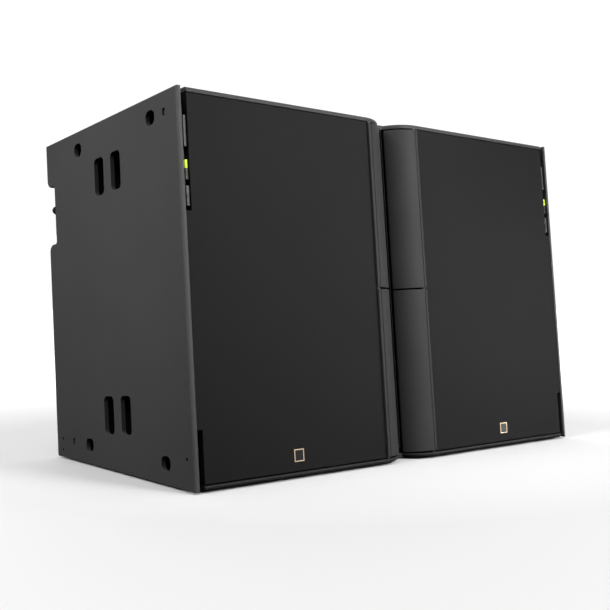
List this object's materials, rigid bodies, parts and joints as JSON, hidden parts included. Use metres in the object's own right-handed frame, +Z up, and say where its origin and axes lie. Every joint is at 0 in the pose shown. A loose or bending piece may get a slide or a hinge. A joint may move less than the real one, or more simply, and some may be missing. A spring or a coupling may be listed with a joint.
{
  "type": "line array speaker",
  "caption": "Tall wide line array loudspeaker enclosure with perforated front grilles, a centre waveguide slot between swinging fins, side handle slots and captive rigging.",
  "frame": {"origin": "centre of the overall box at floor level, under the skids", "axes": "+X to the cabinet's own left side as seen from behind, so right when looking at the front; front faces -Y; +Z up"},
  "size_m": [1.2, 0.658, 0.799],
  "materials": {
    "cabinet_paint": "plywood under a fine textured matt paint",
    "plywood": "sealed birch plywood",
    "grille": "perforated steel, matt powder coat",
    "foam": "open cell acoustic foam",
    "fin": "moulded, fine satin grain",
    "steel_black": "black e-coat",
    "steel_grey": "satin zinc",
    "flag": "yellow green indicator",
    "black_plastic": "moulded nylon",
    "cone": "treated paper cone",
    "rubber": "surround rubber",
    "cast_frame": "cast and painted",
    "plate": "black anodised",
    "badge": "plain satin plate",
    "screw": "black zinc"
  },
  "bodies": {
    "cabinet": {"badge_plates": "badge", "bottom_panel": "cabinet_paint", "chamber_wall_left": "plywood", "chamber_wall_right": "plywood", "compression_driver_1": "cast_frame", "compression_driver_2": "cast_frame", "compression_driver_3": "cast_frame", "compression_driver_4": "cast_frame", "connector_plate": "plate", "connectors": "black_plastic", "fin_hinge_rods": "steel_black", "fin_spacers": "black_plastic", "front_baffle_left": "plywood", "front_baffle_right": "plywood", "front_grille_left": "grille", "front_grille_right": "grille", "front_rig_rails": "steel_black", "grille_foam": "foam", "handle_cups": "black_plastic", "link_stops": "steel_grey", "mid_driver_frames": "cast_frame", "rear_handles": "black_plastic", "rear_panel": "cabinet_paint", "rear_rig_rails": "steel_black", "rear_screws": "screw", "rig_pin_sockets": "steel_black", "shelf_brace_left": "plywood", "shelf_brace_right": "plywood", "side_panel_left": "cabinet_paint", "side_panel_right": "cabinet_paint", "skids": "black_plastic", "top_panel": "cabinet_paint", "waveguide": "black_plastic", "woofer_frame_left_lower": "cast_frame", "woofer_frame_left_upper": "cast_frame", "woofer_frame_right_lower": "cast_frame", "woofer_frame_right_upper": "cast_frame", "woofer_surround_left_lower": "rubber", "woofer_surround_left_upper": "rubber", "woofer_surround_right_lower": "rubber", "woofer_surround_right_upper": "rubber"},
    "fin_upper_left": {"fin_upper_left": "fin"},
    "fin_lower_left": {"fin_lower_left": "fin"},
    "front_link_left": {"front_link_left": "steel_grey"},
    "lock_left": {"lock_flag_left": "flag", "lock_slider_left": "steel_grey"},
    "rear_link_left": {"rear_link_left": "steel_black", "rear_knob_left": "black_plastic"},
    "woofer_cone_left_upper": {"woofer_cone_left_upper": "cone"},
    "woofer_cone_left_lower": {"woofer_cone_left_lower": "cone"},
    "fin_upper_right": {"fin_upper_right": "fin"},
    "fin_lower_right": {"fin_lower_right": "fin"},
    "front_link_right": {"front_link_right": "steel_grey"},
    "lock_right": {"lock_flag_right": "flag", "lock_slider_right": "steel_grey"},
    "rear_link_right": {"rear_link_right": "steel_black", "rear_knob_right": "black_plastic"},
    "woofer_cone_right_upper": {"woofer_cone_right_upper": "cone"},
    "woofer_cone_right_lower": {"woofer_cone_right_lower": "cone"},
    "mid_cones": {"mid_driver_cones": "cone"}
  },
  "joints": [
    {"name": "fin_upper_left_swing", "type": "hinge", "parent": "cabinet", "child": "fin_upper_left", "pos_m": [-0.0755, -0.26951, 0.5963], "axis": [0, 0.0872, 0.9962], "range_deg": [0, 10]},
    {"name": "fin_lower_left_swing", "type": "hinge", "parent": "cabinet", "child": "fin_lower_left", "pos_m": [-0.0755, -0.3035, 0.20778], "axis": [0, 0.0872, 0.9962], "range_deg": [0, 10]},
    {"name": "front_link_left_slide", "type": "slide", "parent": "cabinet", "child": "front_link_left", "axis": [0, 0.0872, 0.9962], "range_m": [0, 0.11]},
    {"name": "lock_left_slide", "type": "slide", "parent": "cabinet", "child": "lock_left", "axis": [0, -0.0872, -0.9962], "range_m": [0, 0.012], "stiffness_N_per_m": 300, "springref_m": -0.004},
    {"name": "rear_link_left_slide", "type": "slide", "parent": "cabinet", "child": "rear_link_left", "axis": [0, 0.0872, 0.9962], "range_m": [0, 0.035]},
    {"name": "woofer_left_upper_travel", "type": "slide", "parent": "cabinet", "child": "woofer_cone_left_upper", "axis": [0, 0.9962, -0.0872], "range_m": [-0.008, 0.008], "stiffness_N_per_m": 3000, "deforming": ["woofer_surround_left_upper"]},
    {"name": "woofer_left_lower_travel", "type": "slide", "parent": "cabinet", "child": "woofer_cone_left_lower", "axis": [0, 0.9962, -0.0872], "range_m": [-0.008, 0.008], "stiffness_N_per_m": 3000, "deforming": ["woofer_surround_left_lower"]},
    {"name": "fin_upper_right_swing", "type": "hinge", "parent": "cabinet", "child": "fin_upper_right", "pos_m": [0.0755, -0.26951, 0.5963], "axis": [0, 0.0872, 0.9962], "range_deg": [-10, 0]},
    {"name": "fin_lower_right_swing", "type": "hinge", "parent": "cabinet", "child": "fin_lower_right", "pos_m": [0.0755, -0.3035, 0.20778], "axis": [0, 0.0872, 0.9962], "range_deg": [-10, 0]},
    {"name": "front_link_right_slide", "type": "slide", "parent": "cabinet", "child": "front_link_right", "axis": [0, 0.0872, 0.9962], "range_m": [0, 0.11]},
    {"name": "lock_right_slide", "type": "slide", "parent": "cabinet", "child": "lock_right", "axis": [0, -0.0872, -0.9962], "range_m": [0, 0.012], "stiffness_N_per_m": 300, "springref_m": -0.004},
    {"name": "rear_link_right_slide", "type": "slide", "parent": "cabinet", "child": "rear_link_right", "axis": [0, 0.0872, 0.9962], "range_m": [0, 0.035]},
    {"name": "woofer_right_upper_travel", "type": "slide", "parent": "cabinet", "child": "woofer_cone_right_upper", "axis": [0, 0.9962, -0.0872], "range_m": [-0.008, 0.008], "stiffness_N_per_m": 3000, "deforming": ["woofer_surround_right_upper"]},
    {"name": "woofer_right_lower_travel", "type": "slide", "parent": "cabinet", "child": "woofer_cone_right_lower", "axis": [0, 0.9962, -0.0872], "range_m": [-0.008, 0.008], "stiffness_N_per_m": 3000, "deforming": ["woofer_surround_right_lower"]},
    {"name": "mid_cones_travel", "type": "slide", "parent": "cabinet", "child": "mid_cones", "axis": [0, 0.9962, -0.0872], "range_m": [-0.002, 0.002], "stiffness_N_per_m": 12000}
  ]
}
